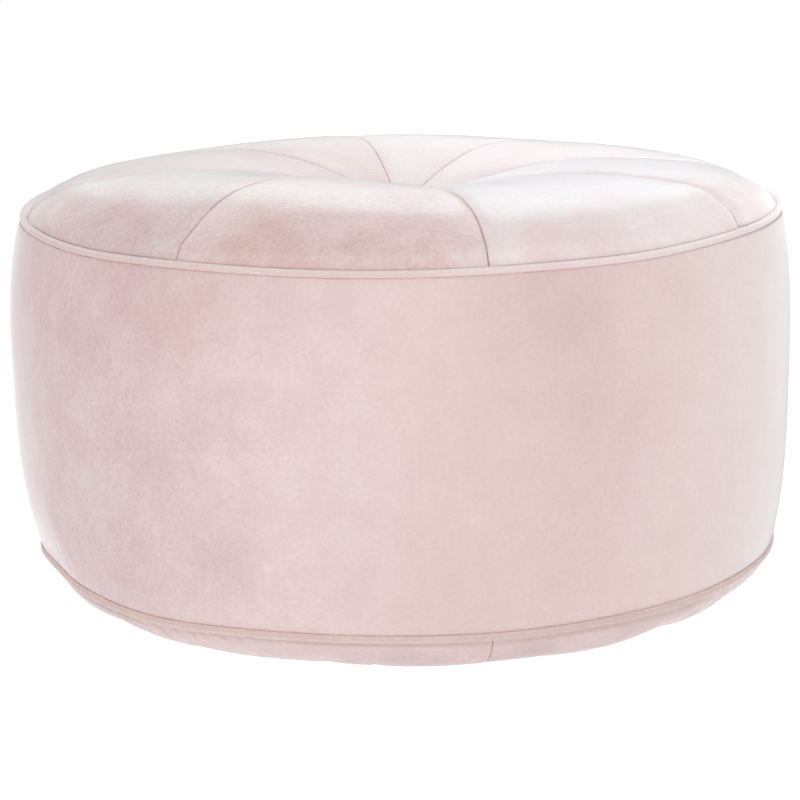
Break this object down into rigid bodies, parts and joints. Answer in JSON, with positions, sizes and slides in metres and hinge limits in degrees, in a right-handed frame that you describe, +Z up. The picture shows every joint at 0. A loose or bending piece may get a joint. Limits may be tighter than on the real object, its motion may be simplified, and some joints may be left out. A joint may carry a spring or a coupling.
{
  "type": "round velvet pouf",
  "caption": "Round velvet floor pouf with a gored, tufted crown, a plain swelling side, two piping rings and a flat underside to rest on.",
  "frame": {"origin": "on the floor, under the middle of the pouf", "axes": "+Z up through the tuft, -Y to the front that the picture shows, +X to the right seen from the front"},
  "size_m": [0.6132, 0.6132, 0.3409],
  "materials": {
    "crown_velvet": "blush pink short-pile velvet, matte with a soft pale sheen where the pile leans away",
    "side_velvet": "blush pink short-pile velvet, matte with a soft pale sheen where the pile leans away",
    "piping_velvet": "cord covered in the same blush pink velvet",
    "base_velvet": "blush pink short-pile velvet, matte with a soft pale sheen where the pile leans away"
  },
  "bodies": {
    "root": {"side_band": "side_velvet", "top_piping": "piping_velvet", "bottom_piping": "piping_velvet", "crown_gore_1": "crown_velvet", "crown_gore_2": "crown_velvet", "crown_gore_3": "crown_velvet", "crown_gore_4": "crown_velvet", "crown_gore_5": "crown_velvet", "crown_gore_6": "crown_velvet", "crown_gore_7": "crown_velvet", "crown_gore_8": "crown_velvet", "base_gore_1": "base_velvet", "base_gore_2": "base_velvet", "base_gore_3": "base_velvet", "base_gore_4": "base_velvet", "base_gore_5": "base_velvet", "base_gore_6": "base_velvet", "base_gore_7": "base_velvet", "base_gore_8": "base_velvet"}
  },
  "joints": []
}
